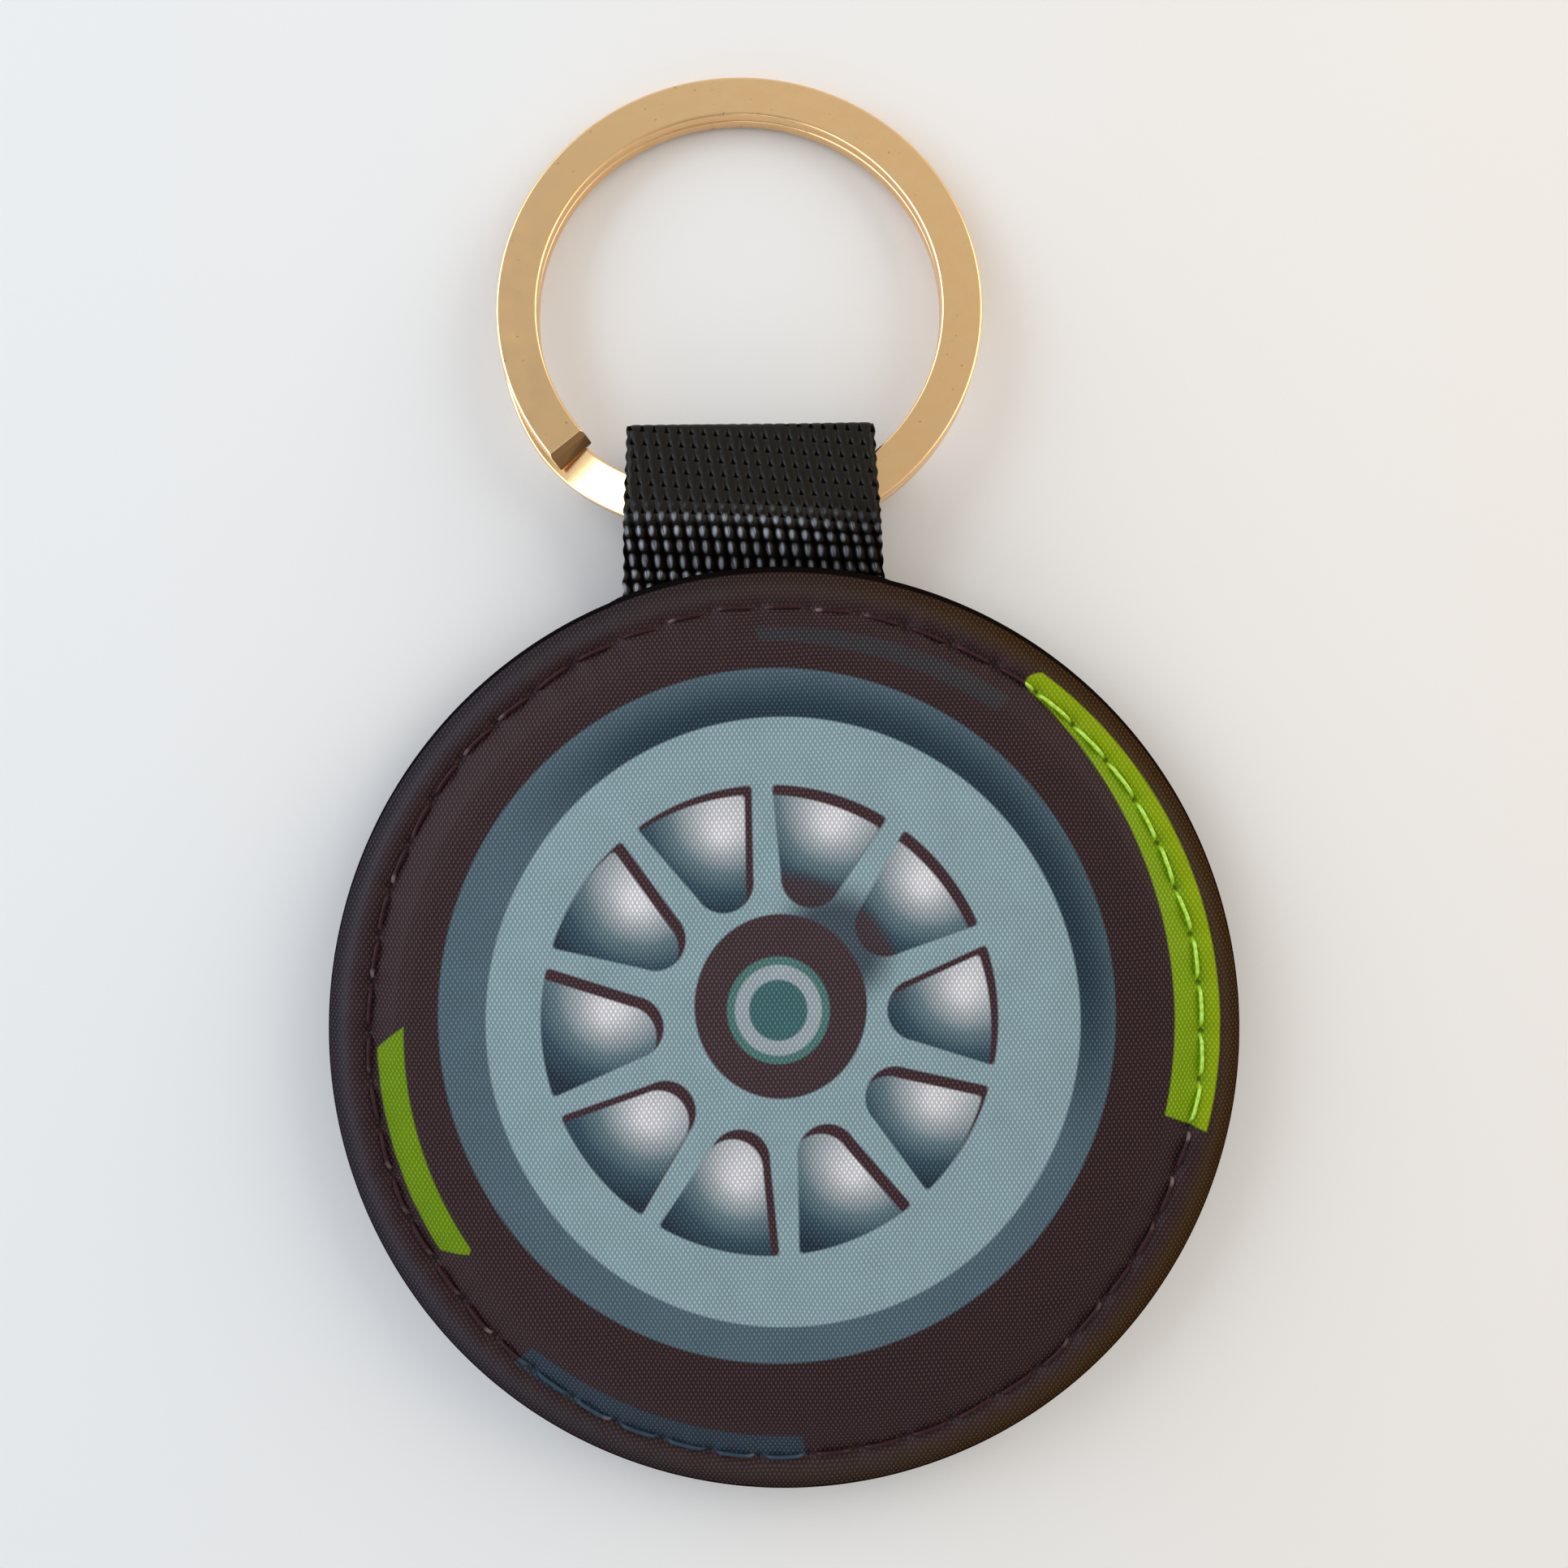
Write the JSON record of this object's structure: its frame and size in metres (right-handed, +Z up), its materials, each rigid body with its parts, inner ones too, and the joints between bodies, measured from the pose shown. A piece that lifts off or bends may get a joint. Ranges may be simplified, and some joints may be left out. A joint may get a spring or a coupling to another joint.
{
  "type": "tyre keychain",
  "caption": "Round padded fabric keychain with a seam round its edge, a short webbing loop sewn in at the top and a flat split key ring.",
  "frame": {"origin": "centre of the flat back face, on the surface that the keychain lies on", "axes": "+Z up out of the printed face, +Y from the pad's centre towards the webbing loop and the key ring, +X to the right seen from the front"},
  "size_m": [0.06, 0.0933, 0.0069],
  "materials": {
    "printed_fabric": "printed polyester plain weave, satin",
    "plain_fabric": "plain dark polyester weave, matte",
    "foam": "soft closed-cell foam sheet",
    "webbing": "black ribbed polypropylene webbing",
    "ring_metal": "polished plated steel, pale gold tint",
    "thread": "glossy polyester sewing thread"
  },
  "bodies": {
    "pad": {"front_cover": "printed_fabric", "front_foam": "foam", "back_foam": "foam", "back_cover": "plain_fabric", "webbing_tails": "webbing", "needle_stitches": "thread", "bobbin_stitches": "thread"},
    "strap_loop": {"webbing_loop": "webbing"},
    "ring": {"split_ring": "ring_metal"}
  },
  "joints": [
    {"name": "strap_flex", "type": "hinge", "parent": "pad", "child": "strap_loop", "pos_m": [-0.0022, 0.0312, 0.0032], "axis": [1, 0, 0], "range_deg": [-50, 12]},
    {"name": "ring_turn", "type": "hinge", "parent": "strap_loop", "child": "ring", "pos_m": [-0.00295, 0.04734, 0.00293], "axis": [0, 0.129, 0.9916], "continuous": true}
  ]
}
